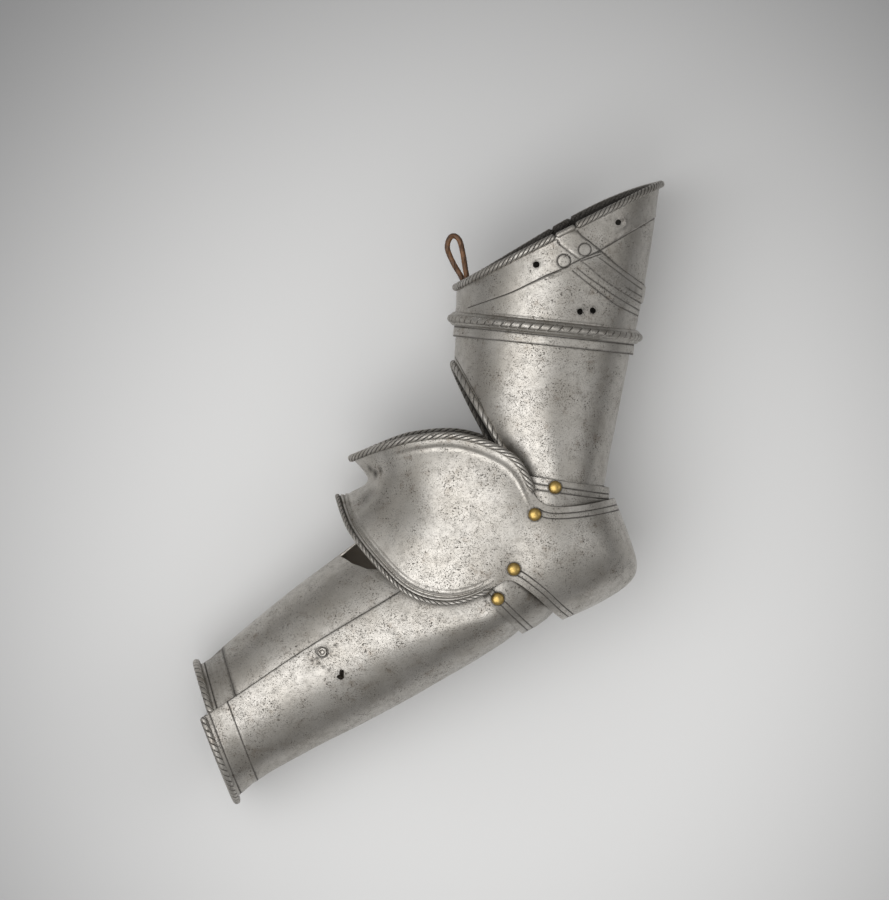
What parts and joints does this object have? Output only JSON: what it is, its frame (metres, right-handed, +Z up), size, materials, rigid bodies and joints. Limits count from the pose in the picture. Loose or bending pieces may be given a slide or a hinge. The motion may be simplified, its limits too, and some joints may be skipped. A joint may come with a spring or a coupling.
{
  "type": "plate arm harness",
  "caption": "Plate armour for a whole arm: turning upper arm tube with roped rim, articulated elbow with wrapping wing, and two-plate forearm tube closed by a stud.",
  "frame": {"origin": "centre of the bounding box on the surface the harness lies on", "axes": "+Z up from the surface it lies on; +Y towards the shoulder end of the upper arm; -X towards the wrist"},
  "size_m": [0.3204, 0.4246, 0.1344],
  "materials": {
    "turner_steel": "worn satin",
    "upper_cannon_steel": "worn satin",
    "upper_lame_steel": "worn satin",
    "couter_steel": "worn satin",
    "lower_lame_steel": "worn satin",
    "outer_plate_steel": "worn satin",
    "inner_plate_steel": "worn satin",
    "stud_steel": "worn satin",
    "hinge_steel": "worn satin",
    "brass": "satin",
    "leather": "matte"
  },
  "bodies": {
    "couter": {"couter": "couter_steel", "rivet_2_near": "brass", "rivet_2_far": "brass", "rivet_3_near": "brass", "rivet_3_far": "brass"},
    "upper_lame": {"upper_lame": "upper_lame_steel", "rivet_1_near": "brass", "rivet_1_far": "brass"},
    "upper_cannon": {"upper_cannon": "upper_cannon_steel"},
    "turner": {"turner": "turner_steel", "leather_loop": "leather"},
    "lower_lame": {"lower_lame": "lower_lame_steel", "rivet_4_near": "brass", "rivet_4_far": "brass"},
    "lower_cannon": {"lower_cannon_outer": "outer_plate_steel", "lower_cannon_inner": "inner_plate_steel", "closing_stud": "stud_steel", "cannon_hinge": "hinge_steel"}
  },
  "joints": [
    {"name": "upper_lame_pivot", "type": "hinge", "parent": "couter", "child": "upper_lame", "pos_m": [0.07157, -0.01437, 0.06881], "axis": [-0.1026, 0.0265, 0.9944], "range_deg": [-8, 12]},
    {"name": "upper_cannon_pivot", "type": "hinge", "parent": "upper_lame", "child": "upper_cannon", "pos_m": [0.08522, 0.00394, 0.06973], "axis": [-0.1026, 0.0265, 0.9944], "range_deg": [-8, 12]},
    {"name": "turner_swivel", "type": "hinge", "parent": "upper_cannon", "child": "turner", "pos_m": [0.07901, 0.11179, 0.06621], "axis": [0.1036, 0.9945, -0.0158], "continuous": true},
    {"name": "lower_lame_pivot", "type": "hinge", "parent": "couter", "child": "lower_lame", "pos_m": [0.0575, -0.05138, 0.06834], "axis": [0.1026, -0.0265, -0.9944], "range_deg": [-8, 8]},
    {"name": "lower_cannon_pivot", "type": "hinge", "parent": "lower_lame", "child": "lower_cannon", "pos_m": [0.04663, -0.07149, 0.06775], "axis": [0.1026, -0.0265, -0.9944], "range_deg": [-8, 6]}
  ]
}
